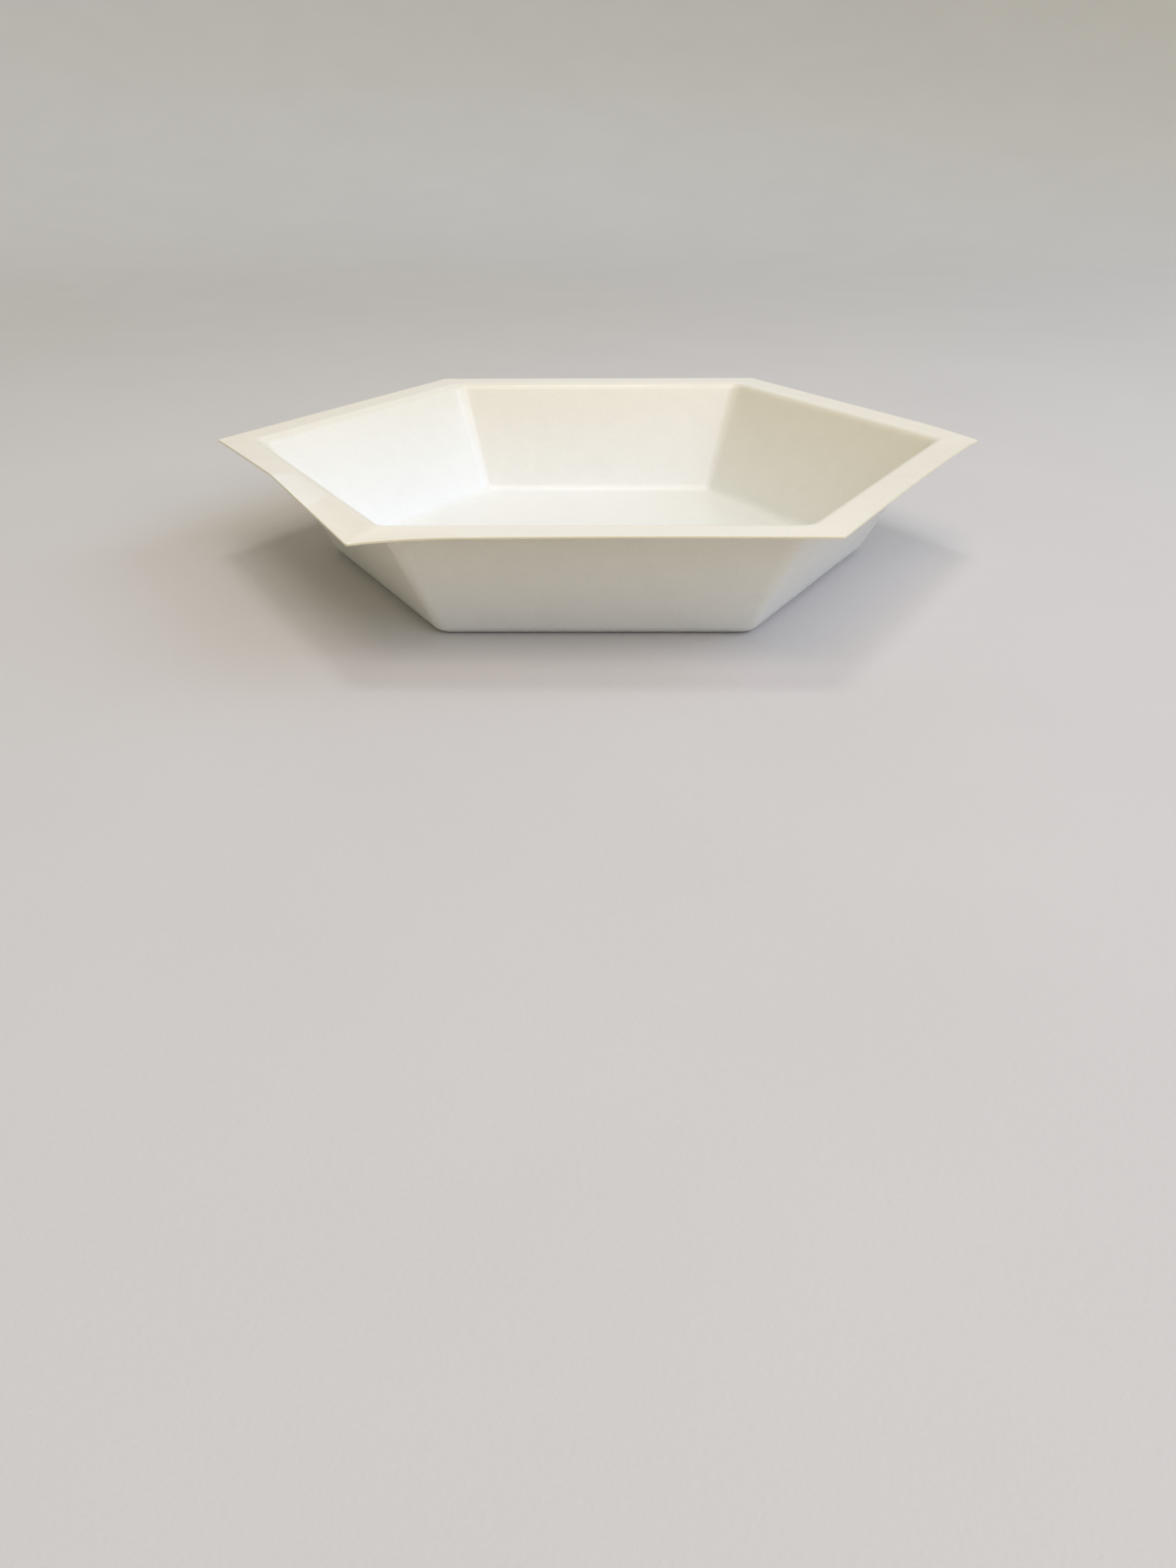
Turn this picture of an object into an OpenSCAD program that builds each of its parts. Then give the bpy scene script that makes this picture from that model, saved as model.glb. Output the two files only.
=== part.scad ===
// Hexagonal weighing boat, formed from one thin plastic sheet and cut out along its flat rim.
// The origin is the middle of the underside of the base, with +Z up. Two corners of the rim
// lie on the X axis, and two of its sides face the front (-Y) and the back (+Y).

/* [Rim] */
// Distance across the rim, from corner to opposite corner
rim_across = 130; // [114:1:170]
// Width of the flat rim, from the cut edge to the bend into the dish
rim_w = 4.9; // [2:0.1:9]
// Thickness of the sheet in the rim
rim_t = 0.3; // [0.2:0.05:0.7]
// Radius of the rim's cut corners
cut_corner_r = 0.6; // [0.2:0.1:6]

/* [Dish] */
// Height from the underside of the base to the top of the rim
dish_h = 19.9; // [9:0.1:30]
// Distance across the flat of the base, from corner to opposite corner
base_across = 88.9; // [60:0.1:104]
// Thickness of the stretched sheet in the wall
wall_t = 0.22; // [0.15:0.01:0.6]
// Thickness of the stretched sheet in the base
base_t = 0.26; // [0.15:0.01:0.6]

/* [Bends] */
// Radius of the bend from floor to wall, on the upper face
floor_bend_r = 2.4; // [0.6:0.1:4]
// Radius of the bend from wall to rim, on the upper face
rim_bend_r = 2; // [0.9:0.1:4]
// Radius of the dish's corners at the floor
floor_corner_r = 1.8; // [0.6:0.1:8]
// Radius of the dish's corners at the mouth
mouth_corner_r = 3.3; // [1:0.1:12]

/* [Wear] */
// Height of the cut edge above the flat rim at the crease in the front left side
crease_lift = 1; // [0.1:0.1:2]
// Distance along the cut edge from the left corner to the crease
crease_at = 32; // [20:1:38]
// Distance along the mouth from its left corner to the crease
crease_root = 27.5; // [18:0.5:34]
// Distance along the mouth from its left corner to the end of the creased stretch
crease_end_root = 40.5; // [36:0.5:46]
// Depth of the front left corner below the flat rim
front_left_droop = 0.9; // [0.1:0.1:2]
// Depth of the right corner below the flat rim
right_droop = 0.4; // [0:0.1:1]
// Length of the rim's side that dips towards a drooping corner
droop_reach = 16; // [6:1:28]
// Height to which the front right side bows up
front_right_bow = 0.4; // [0:0.1:1]

/* [Hidden] */

sides = 6;
turn = 360 / sides;
corner_steps = 8; // facets round each upright corner
bend_steps = 8; // facets round each bend of the sheet

// Distances from the axis to the middle of a side, and lengths of the sides
function middle_of(across) = across / 2 * cos(turn / 2);
function side_of(middle) = 2 * middle * tan(turn / 2);
rim_middle = middle_of(rim_across);
mouth_middle = rim_middle - rim_w;
base_middle = middle_of(base_across);
rim_side = side_of(rim_middle);
mouth_side = side_of(mouth_middle);

// The wall is the straight line that touches the bend at the floor and the bend at the rim.
bend_centres = [mouth_middle - base_middle, dish_h - rim_bend_r - base_t - floor_bend_r];
wall_slope = atan2(bend_centres.y, bend_centres.x)
    + asin((floor_bend_r + rim_bend_r) / norm(bend_centres));

function blend(from, to, share) = from + (to - from) * share;
function direction(angle) = [cos(angle), sin(angle)];

// The upper face in section through the middle of a side, from the floor out to the cut edge.
// Each point is its distance from the axis, its height, the slope and the sheet's thickness.
section = [
    for (i = [0 : bend_steps])
        let (share = i / bend_steps, slope = share * wall_slope)
        [
            base_middle + floor_bend_r * sin(slope),
            base_t + floor_bend_r * (1 - cos(slope)),
            slope,
            blend(base_t, wall_t, share)
        ],
    for (i = [bend_steps : -1 : 0])
        let (share = i / bend_steps, slope = share * wall_slope)
        [
            mouth_middle - rim_bend_r * sin(slope),
            dish_h - rim_bend_r * (1 - cos(slope)),
            slope,
            blend(rim_t, wall_t, share)
        ],
    [rim_middle, dish_h, 0, rim_t]
];
edge = len(section) - 1;

// The corners open evenly from floor to mouth. The cut edge has corners of its own.
function corner_r(i) = i == edge ? cut_corner_r
    : blend(floor_corner_r, mouth_corner_r,
        (section[i][0] - base_middle) / (mouth_middle - base_middle));

// Points along a side, as shares of its length: its two marks, and more points between them
stretch_steps = 3;
function stations(mark_1, mark_2) =
    let (marks = [0, mark_1, mark_2, 1])
    [
        for (i = [1 : 3 * stretch_steps - 1])
            let (stretch = floor(i / stretch_steps))
            blend(marks[stretch], marks[stretch + 1], i / stretch_steps - stretch)
    ];

// Side 0 runs from the left corner to the front left one, side 1 along the front, side 2 to
// the right corner, and so on round. Past the crease the cut edge of side 0 falls straight to
// the drooping corner, and the creased stretch ends where it passes the level of the flat rim.
crease_end = crease_at + (rim_side - crease_at) * crease_lift / (crease_lift + front_left_droop);
reach = droop_reach / rim_side;
from_droop = stations(reach / 2, reach);
to_droop = stations(1 - reach, 1 - reach / 2);
even = stations(1 / 3, 2 / 3);
rim_stations = [
    stations(crease_at / rim_side, crease_end / rim_side), from_droop, to_droop, from_droop,
    even, even
];
dish_stations = [
    stations(crease_root / mouth_side, crease_end_root / mouth_side), from_droop, to_droop,
    from_droop, even, even
];

// Height of the cut edge above the flat rim, at a distance along side k from its first corner
function dip(distance) = pow(max(0, 1 - distance / droop_reach), 2);
function edge_lift(k, along) =
    k == 0 && along < crease_at ? crease_lift * along / crease_at
    : k == 0 ? blend(crease_lift, -front_left_droop, (along - crease_at) / (rim_side - crease_at))
    : k == 1 ? -front_left_droop * dip(along)
    : k == 2 ? front_right_bow * sin(180 * along / rim_side) - right_droop * dip(rim_side - along)
    : k == 3 ? -right_droop * dip(along)
    : 0;

// One loop round the boat with rounded corners: middle is its distance from the axis at the
// middle of a side, r the radius of its corners, and lift how much it follows the cut edge.
function loop(middle, r, z, marks, lift) = [
    for (k = [0 : sides - 1])
        let (corner = 180 + turn * k, to_corner = 1 / cos(turn / 2))
        each [
            for (i = [0 : corner_steps])
                let (
                    angle = corner + turn * (i / corner_steps - 1 / 2),
                    p = (middle - r) * to_corner * direction(corner) + r * direction(angle)
                )
                [p.x, p.y, z + lift * edge_lift(k, 0)],
            for (share = marks[k])
                let (
                    p = middle * to_corner
                        * blend(direction(corner), direction(corner + turn), share)
                )
                [p.x, p.y, z + lift * edge_lift(k, share * rim_side)]
        ]
];

// Loop i of the section on the upper face, or one sheet's thickness below it
function sheet_loop(i, below) =
    let (
        depth = below ? section[i][3] : 0,
        out = depth * sin(section[i][2]),
        down = depth * cos(section[i][2])
    )
    loop(section[i][0] + out, corner_r(i) + out, section[i][1] - down,
        i == edge ? rim_stations : dish_stations, i == edge ? 1 : 0);

// The sheet: up the upper face from the floor to the cut edge, and back along the underside
module boat() {
    loops = [
        for (i = [0 : edge]) sheet_loop(i, false),
        for (i = [edge : -1 : 0]) sheet_loop(i, true)
    ];
    n = len(loops[0]);
    last = len(loops) - 1;
    floor_face = [for (j = [0 : n - 1]) j];
    base_face = [for (j = [n - 1 : -1 : 0]) last * n + j];
    bands = [
        for (i = [0 : last - 1], j = [0 : n - 1])
            let (a = i * n + j, b = i * n + (j + 1) % n, c = b + n, d = a + n)
            each [[a, d, c], [a, c, b]]
    ];
    color([0.94, 0.92, 0.87])
        polyhedron([for (l = loops) each l], concat([floor_face, base_face], bands), convexity = 4);
}

boat();
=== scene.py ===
from math import asin, atan2, cos, hypot, pi, radians, sin, tan

import bmesh
import bpy
from mathutils import Matrix, Vector


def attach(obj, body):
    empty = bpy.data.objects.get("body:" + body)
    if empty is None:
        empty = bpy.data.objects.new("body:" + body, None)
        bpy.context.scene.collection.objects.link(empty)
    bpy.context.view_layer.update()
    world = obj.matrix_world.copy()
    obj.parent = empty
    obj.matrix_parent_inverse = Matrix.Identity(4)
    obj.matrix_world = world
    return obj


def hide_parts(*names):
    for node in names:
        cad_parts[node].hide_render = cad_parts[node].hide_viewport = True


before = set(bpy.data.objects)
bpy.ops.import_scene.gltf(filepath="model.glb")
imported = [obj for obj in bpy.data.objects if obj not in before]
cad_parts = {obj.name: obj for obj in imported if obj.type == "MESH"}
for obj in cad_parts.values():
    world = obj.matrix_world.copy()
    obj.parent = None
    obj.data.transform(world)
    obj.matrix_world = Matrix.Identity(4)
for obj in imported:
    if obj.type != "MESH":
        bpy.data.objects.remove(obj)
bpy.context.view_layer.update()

# The boat is one sheet of ivory polystyrene. It is heated and drawn into a mould with six
# sloping walls, which thins the base and the walls a little, and then die-cut along its flat
# rim. Nothing is fixed to it.
MM = 0.001
rim_across, rim_width, rim_sheet = 130 * MM, 4.9 * MM, 0.3 * MM
dish_height, base_across = 19.9 * MM, 88.9 * MM
wall_sheet, base_sheet = 0.22 * MM, 0.26 * MM
floor_bend, rim_bend = 2.4 * MM, 2 * MM
floor_corner, mouth_corner, cut_corner = 1.8 * MM, 3.3 * MM, 0.6 * MM
cut_rounding = 0.04 * MM

SIDES = 6
TURN = 2 * pi / SIDES


def middle_of(across):
    """Distance from the axis to the middle of a side of a hexagon, from its corner width."""
    return across / 2 * cos(TURN / 2)


def side_of(middle):
    """Length of a hexagon's sides, from the distance between its axis and their middle."""
    return 2 * middle * tan(TURN / 2)


rim_middle = middle_of(rim_across)
mouth_middle = rim_middle - rim_width
base_middle = middle_of(base_across)
rim_side = rim_across / 2
mouth_side = side_of(mouth_middle)

# The wall is the straight stretch that touches both bends.
bend_run = mouth_middle - base_middle
bend_rise = dish_height - rim_bend - base_sheet - floor_bend
wall_slope = (atan2(bend_rise, bend_run)
              + asin((floor_bend + rim_bend) / hypot(bend_run, bend_rise)))


def blend(start, end, share):
    return start + (end - start) * share


def corner_at(distance):
    """Radius of the boat's upright corners at a distance from the axis."""
    if distance <= base_middle:
        return floor_corner * distance / base_middle
    if distance <= mouth_middle:
        return blend(floor_corner, mouth_corner,
                     (distance - base_middle) / (mouth_middle - base_middle))
    return blend(mouth_corner, cut_corner, (distance - mouth_middle) / rim_width)


# The upper face in section, from the middle of the floor out to the cut edge: distance from
# the axis, height, slope and thickness of the sheet. Its points lie at given shares of the way
# out over the floor and the rim, and at even steps between.
BEND_STEPS, WALL_STEPS = 14, 8
FLOOR_SHARES = (0.03, 0.15, 0.35, 0.55, 0.75, 0.9, 0.97)
RIM_SHARES = (0.12, 0.3, 0.5, 0.7, 0.88, 0.97)
section = [(base_middle * share, base_sheet, 0, base_sheet) for share in FLOOR_SHARES]
for step in range(BEND_STEPS + 1):
    share = step / BEND_STEPS
    slope = share * wall_slope
    section.append((base_middle + floor_bend * sin(slope),
                    base_sheet + floor_bend * (1 - cos(slope)),
                    slope, blend(base_sheet, wall_sheet, share)))
wall_foot = section[-1]
wall_head = (mouth_middle - rim_bend * sin(wall_slope),
             dish_height - rim_bend * (1 - cos(wall_slope)), wall_slope, wall_sheet)
for step in range(1, WALL_STEPS):
    section.append(tuple(blend(foot, head, step / WALL_STEPS)
                         for foot, head in zip(wall_foot, wall_head)))
for step in range(BEND_STEPS, -1, -1):
    share = step / BEND_STEPS
    slope = share * wall_slope
    section.append((mouth_middle - rim_bend * sin(slope),
                    dish_height - rim_bend * (1 - cos(slope)),
                    slope, blend(rim_sheet, wall_sheet, share)))
section += [(mouth_middle + rim_width * share, dish_height, 0, rim_sheet) for share in RIM_SHARES]

# Rim heights: the front left side was folded up in handling and its corner bent down. The
# right corner droops a little, the front right side bows up, and the front side bows faintly.
# A power just below 1 rounds the rise to the crease.
crease_lift, crease_at = 1 * MM, 32 * MM
crease_root, crease_end_root = 27.5 * MM, 40.5 * MM
front_left_droop, right_droop, droop_reach = 0.9 * MM, 0.4 * MM, 16 * MM
front_right_bow, front_bow = 0.4 * MM, 0.12 * MM
RISE_POWER = 0.85
crease_end = crease_at + (rim_side - crease_at) * crease_lift / (crease_lift + front_left_droop)


def dip(distance):
    return max(0, 1 - distance / droop_reach) ** 2


def edge_lift(side, along):
    """Height of the cut edge over the flat rim, at a distance from a side's first corner."""
    if side == 0:
        if along < crease_at:
            return crease_lift * (along / crease_at) ** RISE_POWER
        return blend(crease_lift, -front_left_droop,
                     (along - crease_at) / (rim_side - crease_at))
    if side == 1:
        rise = max(0, along - droop_reach) / (rim_side - droop_reach)
        return front_bow * sin(pi * rise) - front_left_droop * dip(along)
    if side == 2:
        return front_right_bow * sin(pi * along / rim_side) - right_droop * dip(rim_side - along)
    return -right_droop * dip(along) if side == 3 else 0


# Points along a side lie closer together on both sides of a fold line. Each side starts and
# ends where its rounded corners do. The mark is 1 on the two fold lines, for stress whitening,
# and falls to a half midway between them: painted light on the facet between the folds.
STRETCH_STEPS, CORNER_STEPS = 12, 16
FOLD = 0.004  # half the width of a fold, as a share of the side


def stations(start, mark_1, mark_2):
    """Shares of a side's length, each with its fold mark from 0 to 1 if the marks are fold lines.
    """
    points = []
    for first, last, between in ((start, mark_1, 0), (mark_1, mark_2, 1), (mark_2, 1 - start, 0)):
        for step in range(1, STRETCH_STEPS):
            share = step / STRETCH_STEPS
            points.append((blend(first, last, share), between * max(share, 1 - share)))
        if last < 1 - start:
            points += [(last - FOLD, between), (last, 1), (last + FOLD, 1 - between)]
    return points


fold_marks = {0: ((crease_root / mouth_side, crease_end_root / mouth_side),
                  (crease_at / rim_side, crease_end / rim_side))}
even_marks = ((1 / 3, 2 / 3), (1 / 3, 2 / 3))


def direction(angle):
    return Vector((cos(angle), sin(angle)))


def ring(distance, height, corner):
    """One loop of points round the boat, and its marks for fold whitening and painted light on
    the facet between the folds. Over the rim the fold lines slide from their roots at the mouth
    to their ends at the cut edge, and the points rise with it."""
    rim_share = min(1, max(0, (distance - mouth_middle) / rim_width))
    start = corner * tan(TURN / 2) / side_of(distance)
    edge_start = cut_corner * tan(TURN / 2) / rim_side
    to_corner = 1 / cos(TURN / 2)
    points, strain_and_light_marks = [], []
    for side in range(SIDES):
        first = pi + TURN * side
        for step in range(CORNER_STEPS + 1):
            angle = first + TURN * (step / CORNER_STEPS - 0.5)
            plan = (distance - corner) * to_corner * direction(first) + corner * direction(angle)
            points.append((*plan, height + rim_share * edge_lift(side, 0)))
            strain_and_light_marks.append(0)
        roots, ends = fold_marks.get(side, even_marks)
        marks = [blend(root, end, rim_share) for root, end in zip(roots, ends)]
        here, on_edge = stations(start, *marks), stations(edge_start, *ends)
        for (share, strain_and_light_mark), (edge_share, _) in zip(here, on_edge):
            plan = distance * to_corner * direction(first).lerp(direction(first + TURN), share)
            points.append((*plan, height + rim_share * edge_lift(side, edge_share * rim_side)))
            strain_and_light_marks.append(strain_and_light_mark if side in fold_marks and rim_share > 0 else 0)
    return points, strain_and_light_marks


rings, rim_marks, cut_marks = [], [], []


def add_ring(distance, height, corner, cut_mark=0):
    """Add a loop. It is marked where the sheet turns into the flat rim, and on the cut edge."""
    rings.append(ring(distance, height, corner))
    rim_marks.append(min(1, max(0, 1 + (distance - mouth_middle) / (rim_bend / 2))))
    cut_marks.append(cut_mark)


# Up the upper face, round the two rounded corners of the cut edge, and back along the underside
for distance, height, *_ in section:
    add_ring(distance, height, corner_at(distance))
for inset, drop in ((1, 0), (0.3, 0.3), (0, 1)):
    add_ring(rim_middle - inset * cut_rounding, dish_height - drop * cut_rounding, cut_corner, 1)
for inset, rise in ((0, 1), (0.3, 0.3), (1, 0)):
    add_ring(rim_middle - inset * cut_rounding,
             dish_height - rim_sheet + rise * cut_rounding, cut_corner, 1)
for distance, height, slope, sheet in reversed(section):
    out = sheet * sin(slope)
    add_ring(distance + out, height - sheet * cos(slope), corner_at(distance) + out)

form = bmesh.new()
loops = [[form.verts.new(point) for point in points] for points, _ in rings]
ring_length = len(loops[0])
for lower, upper in zip(loops, loops[1:]):
    for here in range(ring_length):
        after = (here + 1) % ring_length
        form.faces.new((lower[here], upper[here], upper[after], lower[after]))
for loop, height, order in ((loops[0], base_sheet, 1), (loops[-1], 0, -1)):
    hub = form.verts.new((0, 0, height))
    for here in range(ring_length):
        form.faces.new((hub, loop[here], loop[(here + 1) % ring_length])[::order])
boat_mesh = bpy.data.meshes.new("formed_sheet")
form.to_mesh(boat_mesh)
form.free()
boat_mesh.shade_smooth()

HUBS = [0, 0]  # the middle points of the floor and the underside carry no mark
flat_rim = [mark for mark in rim_marks for _ in range(ring_length)] + HUBS
cut_edge = [mark for mark in cut_marks for _ in range(ring_length)] + HUBS
strain_and_facet_light = [strain_and_light_mark for _, strain_and_light_marks in rings for strain_and_light_mark in strain_and_light_marks] + HUBS
for name, marks in (("flat_rim", flat_rim), ("cut_edge", cut_edge), ("strain_and_facet_light", strain_and_facet_light)):
    boat_mesh.attributes.new(name, "FLOAT", "POINT").data.foreach_set("value", marks)

studio = bpy.context.scene
boat = bpy.data.objects.new("formed_boat", boat_mesh)
studio.collection.objects.link(boat)


def add_node(tree, kind, inputs=(), **settings):
    """Add a node. Its inputs are given by name or number, as a value or a node's output."""
    node = tree.nodes.new(kind)
    for name, value in settings.items():
        setattr(node, name, value)
    for socket, value in dict(inputs).items():
        if isinstance(value, bpy.types.NodeSocket):
            tree.links.new(value, node.inputs[socket])
        else:
            node.inputs[socket].default_value = value
    return node


# Fine grain: the close tooth of a matt surface, and slow clouds of slightly uneven finish.
# Both come out as values from 0 to 1 with a mean of about 0.5.
fine_grain = bpy.data.node_groups.new("fine_grain", "ShaderNodeTree")
for name, way, kind in (("Position", "INPUT", "Vector"), ("Grain Size", "INPUT", "Float"),
                        ("Cloud Size", "INPUT", "Float"), ("Grain", "OUTPUT", "Float"),
                        ("Cloud", "OUTPUT", "Float")):
    fine_grain.interface.new_socket(name, in_out=way, socket_type="NodeSocket" + kind)
entry = fine_grain.nodes.new("NodeGroupInput")
result = fine_grain.nodes.new("NodeGroupOutput")
for name, detail in (("Grain", 2), ("Cloud", 3)):
    per_metre = add_node(fine_grain, "ShaderNodeMath", {0: 1, 1: entry.outputs[name + " Size"]},
                         operation="DIVIDE")
    pattern = add_node(fine_grain, "ShaderNodeTexNoise", {
        "Vector": entry.outputs["Position"], "Scale": per_metre.outputs[0], "Detail": detail})
    fine_grain.links.new(pattern.outputs["Fac"], result.inputs[name])


def place_in(tree):
    """The place on the piece, in metres from the middle of the boat's underside."""
    return add_node(tree, "ShaderNodeTexCoord").outputs["Object"]


def grain_in(tree, grain_size, cloud_size):
    return add_node(tree, "ShaderNodeGroup", {
        "Position": place_in(tree), "Grain Size": grain_size, "Cloud Size": cloud_size},
        node_tree=fine_grain)


def varied(tree, value, low, high):
    """Turn a value from 0 to 1 into one from low to high."""
    ranged = add_node(tree, "ShaderNodeMapRange", {"Value": value, "To Min": low, "To Max": high})
    return ranged.outputs[0]


def mixed(tree, share, first, second, blend_type="MIX"):
    """Mix two colours, which are the node's inputs 6 and 7."""
    mix = add_node(tree, "ShaderNodeMix", {"Factor": share, 6: first, 7: second},
                   data_type="RGBA", blend_type=blend_type)
    return mix.outputs[2]


def shaded(tree, colour, value, depth):
    """Darken or lighten a colour by up to a depth, as a value goes from 0 to 1."""
    grey = varied(tree, value, 1 - depth, 1 + depth)
    grey = add_node(tree, "ShaderNodeCombineXYZ", {0: grey, 1: grey, 2: grey}).outputs[0]
    return mixed(tree, 1.0, colour, grey, "MULTIPLY")


def bumped(tree, height, depth):
    bump = add_node(tree, "ShaderNodeBump", {"Height": height, "Distance": depth, "Strength": 1.0})
    return bump.outputs["Normal"]


# The satin sheet is whiter at the floor and more yellow up towards the rim's height. Its cut
# edge is tinted straw, a painted glow of light carried through the translucent sheet. The
# thicker rim looks more solid. It is faintly whitened on its fold lines, as polystyrene whitens
# under stress, and the facet between the folds is lightened too, painted light on that tilted
# facet.
WHITE_SHEET = (0.828, 0.823, 0.76, 1)
UPPER_SHEET = (0.785, 0.74, 0.6, 1)
THICK_RIM = (0.885, 0.835, 0.697, 1)
# Whitening on the fold lines, and painted light on the tilted facet between them
STRAIN_WHITE_AND_FACET_LIGHT = (0.93, 0.89, 0.8, 1)
# Painted glow: a straw tint standing for light carried through the sheet to its cut edge
PAINTED_EDGE_GLOW = (0.76, 0.68, 0.45, 1)
# The marks on the mesh, and how much of which colour each brings
RIM_TONES = (("flat_rim", 1, THICK_RIM), ("strain_and_facet_light", 0.6, STRAIN_WHITE_AND_FACET_LIGHT),
             ("cut_edge", 0.8, PAINTED_EDGE_GLOW))
SHEET_GRAIN, SHEET_CLOUD = 0.3 * MM, 4 * MM
GRAIN_SHADE, CLOUD_SHADE = 0.06, 0.03
SATIN_ROUGHNESS, CLOUD_ROUGHNESS = (0.28, 0.31), (0, 0.03)
TOOTH_DEPTH = 0.004 * MM
POLYSTYRENE_IOR = 1.59
ivory = bpy.data.materials.new("ivory_sheet")
ivory.use_nodes = True
tree = ivory.node_tree
sheet_shader = tree.nodes["Principled BSDF"]
satin = grain_in(tree, SHEET_GRAIN, SHEET_CLOUD)
place = add_node(tree, "ShaderNodeSeparateXYZ", {0: place_in(tree)})
# Graded by height: whiter at the floor, more yellow towards the rim
up_the_wall = add_node(tree, "ShaderNodeMapRange", {
    "Value": place.outputs["Z"], "From Max": dish_height})
colour = mixed(tree, up_the_wall.outputs[0], WHITE_SHEET, UPPER_SHEET)
# The rim's own tone, fold whitening with painted facet light, and the painted glow of the cut edge
for name, most, tone in RIM_TONES:
    mark = add_node(tree, "ShaderNodeAttribute", attribute_name=name).outputs["Fac"]
    colour = mixed(tree, varied(tree, mark, 0, most), colour, tone)
colour = shaded(tree, colour, satin.outputs["Grain"], GRAIN_SHADE)
colour = shaded(tree, colour, satin.outputs["Cloud"], CLOUD_SHADE)
tree.links.new(colour, sheet_shader.inputs["Base Color"])
roughness = add_node(tree, "ShaderNodeMath", {
    0: varied(tree, satin.outputs["Grain"], *SATIN_ROUGHNESS),
    1: varied(tree, satin.outputs["Cloud"], *CLOUD_ROUGHNESS)}, operation="ADD")
tree.links.new(roughness.outputs[0], sheet_shader.inputs["Roughness"])
tree.links.new(bumped(tree, satin.outputs["Grain"], TOOTH_DEPTH), sheet_shader.inputs["Normal"])
sheet_shader.inputs["IOR"].default_value = POLYSTYRENE_IOR
boat_mesh.materials.append(ivory)

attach(boat, "root")
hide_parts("boat")

# The studio floor is a wide sheet of matt grey-white paper. It lies flat under the boat and
# curves up into a wall all round. Its colour is graded lighter towards the wall: painted light
# on the sweep, where the lamps' light falls off.
FLAT_RADIUS, SWEEP_RADIUS, SPOKES = 0.5, 0.7, 96
SWEEP_DEGREES = range(6, 85, 6)
sweep_profile = [(FLAT_RADIUS / 2, 0), (FLAT_RADIUS, 0)] + [
    (FLAT_RADIUS + SWEEP_RADIUS * sin(radians(a)), SWEEP_RADIUS * (1 - cos(radians(a))))
    for a in SWEEP_DEGREES]
sweep = bmesh.new()
columns = [[sweep.verts.new((*(radius * direction(2 * pi * spoke / SPOKES)), height))
            for radius, height in sweep_profile] for spoke in range(SPOKES)]
hub = sweep.verts.new((0, 0, 0))
for here, after in zip(columns, columns[1:] + columns[:1]):
    sweep.faces.new((hub, here[0], after[0]))
    for low in range(len(here) - 1):
        sweep.faces.new((here[low], here[low + 1], after[low + 1], after[low]))
floor_mesh = bpy.data.meshes.new("paper_sweep")
sweep.to_mesh(floor_mesh)
sweep.free()
floor_mesh.shade_smooth()
floor = bpy.data.objects.new("paper_floor", floor_mesh)
studio.collection.objects.link(floor)

# The far paper's lighter colour is painted light on the sweep's wall
NEAR_PAPER, PAINTED_LIGHT_FAR_PAPER = (0.6, 0.575, 0.545, 1), (0.83, 0.82, 0.83, 1)
GRADED_FROM, GRADED_TO = 0.25, 0.85  # distances from the boat
FIBRE_GRAIN, FIBRE_CLOUD = 0.5 * MM, 40 * MM
PAPER_SHADE, PAPER_ROUGHNESS, FIBRE_DEPTH = 0.03, (0.85, 0.95), 0.03 * MM
paper = bpy.data.materials.new("matt_paper")
paper.use_nodes = True
tree = paper.node_tree
paper_shader = tree.nodes["Principled BSDF"]
fibres = grain_in(tree, FIBRE_GRAIN, FIBRE_CLOUD)
from_boat = add_node(tree, "ShaderNodeVectorMath", {0: place_in(tree)}, operation="LENGTH")
# Graded by distance from the boat: painted light, lighter up the sweep
up_the_sweep = add_node(tree, "ShaderNodeMapRange", {
    "Value": from_boat.outputs["Value"], "From Min": GRADED_FROM, "From Max": GRADED_TO},
    interpolation_type="SMOOTHSTEP")
colour = mixed(tree, up_the_sweep.outputs[0], NEAR_PAPER, PAINTED_LIGHT_FAR_PAPER)
colour = shaded(tree, colour, fibres.outputs["Cloud"], PAPER_SHADE)
tree.links.new(colour, paper_shader.inputs["Base Color"])
matt = varied(tree, fibres.outputs["Grain"], *PAPER_ROUGHNESS)
tree.links.new(matt, paper_shader.inputs["Roughness"])
tree.links.new(bumped(tree, fibres.outputs["Grain"], FIBRE_DEPTH), paper_shader.inputs["Normal"])
floor_mesh.materials.append(paper)

# Five soft lamps and a dim, warm room light the boat. The large key stands in front to the
# right, a window light on the right and a faint lamp behind. One hangs in front, and a small
# one overhead. The grid on each keeps its light near the boat.
GRID = radians(60)  # half the angle of the light that a grid lets through


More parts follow.
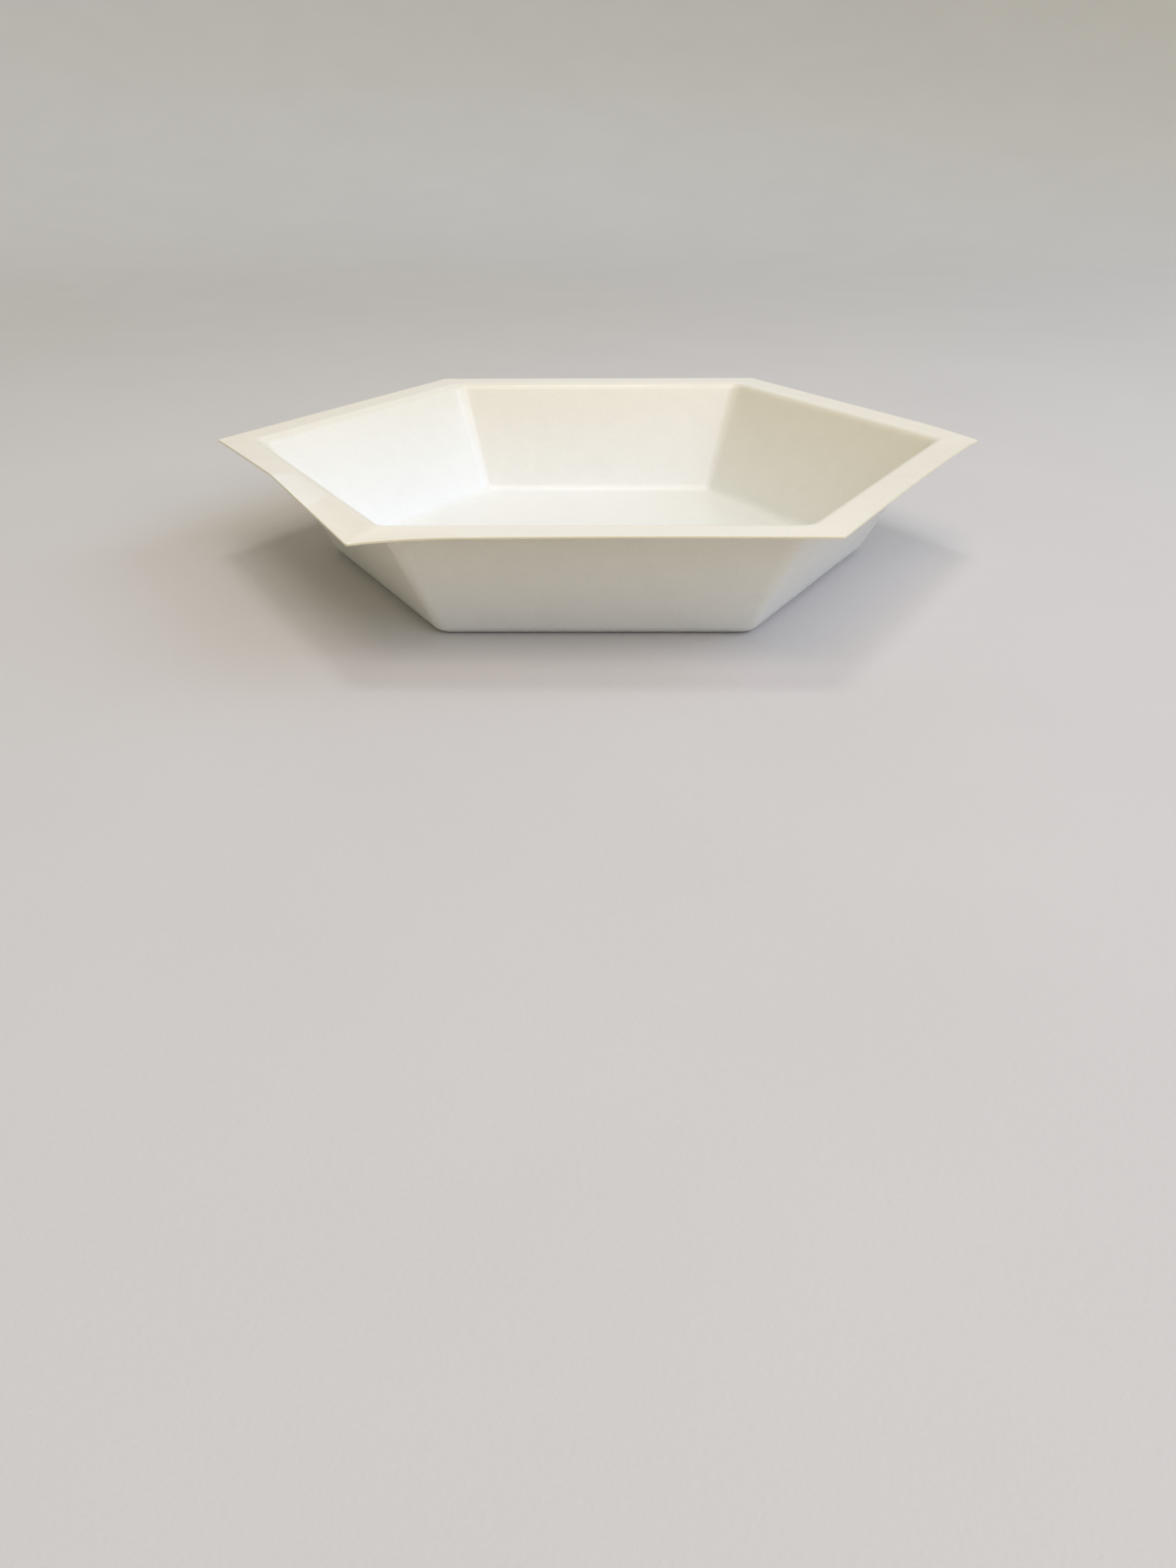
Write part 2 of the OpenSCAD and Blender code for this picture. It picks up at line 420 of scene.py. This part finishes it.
def soft_lamp(name, azimuth, elevation, distance, size, radiance, colour):
    """Add a round lamp that faces the boat. Azimuth runs from +X towards +Y, and radiance is
    what the lamp gives straight ahead, in watts per square metre and steradian."""
    lamp = bpy.data.lights.new(name, "AREA")
    lamp.shape, lamp.size = "DISK", size
    lamp.spread, lamp.color = 2 * GRID, colour
    lamp.energy = radiance * pi * pi * size * size / 4 * (1 - GRID / tan(GRID))
    body = bpy.data.objects.new(name, lamp)
    turn, rise = radians(azimuth), radians(elevation)
    away = Vector((cos(rise) * cos(turn), cos(rise) * sin(turn), sin(rise)))
    body.location = distance * away
    body.rotation_euler = (-away).to_track_quat("-Z", "Y").to_euler()
    body.visible_camera = False
    studio.collection.objects.link(body)


soft_lamp("key_light", 306, 38, 0.9, 0.8, 2.78, (0.72, 0.775, 1))
soft_lamp("window_light", 5, 34, 0.8, 0.64, 2.9, (0.55, 0.685, 1))
soft_lamp("front_light", 270, 66, 0.9, 0.5, 3.4, (1, 0.85, 0.81))
soft_lamp("ceiling_light", 90, 82, 1.1, 0.25, 10.5, (0.96, 1, 1))
soft_lamp("back_light", 90, 30, 0.9, 0.5, 0.54, (0.53, 0.68, 1))

ROOM_TINT, ROOM_STRENGTH = (1, 0.95, 0.72, 1), 0.42
room = bpy.data.worlds.new("room")
room.use_nodes = True
room_light = room.node_tree.nodes["Background"]
room_light.inputs["Color"].default_value = ROOM_TINT
room_light.inputs["Strength"].default_value = ROOM_STRENGTH
studio.world = room

# The camera stands in front, about 0.2 m from the middle of the boat, and looks down across its
# rim. Its focal length and the width of its sensor are in millimetres.
FOCAL_LENGTH, SENSOR_WIDTH = 27.675, 36
camera_place = (1.2673 * MM, -209.047 * MM, 66.682 * MM)
pitch, yaw, roll = radians(28.598), radians(-0.8406), radians(-0.3217)
viewer = bpy.data.cameras.new("viewer")
viewer.sensor_width, viewer.lens = SENSOR_WIDTH, FOCAL_LENGTH
viewer.clip_start, viewer.clip_end = 0.01, 10
camera = bpy.data.objects.new("viewer", viewer)
forward = Vector((sin(yaw) * cos(pitch), cos(yaw) * cos(pitch), -sin(pitch)))
level = Vector((cos(yaw), -sin(yaw), 0))
right = cos(roll) * level + sin(roll) * level.cross(forward)
up = right.cross(forward)
camera.matrix_world = Matrix.Translation(camera_place) @ Matrix(
    (right, up, -forward)).transposed().to_4x4()
studio.collection.objects.link(camera)
studio.camera = camera

studio.view_settings.view_transform = "Standard"
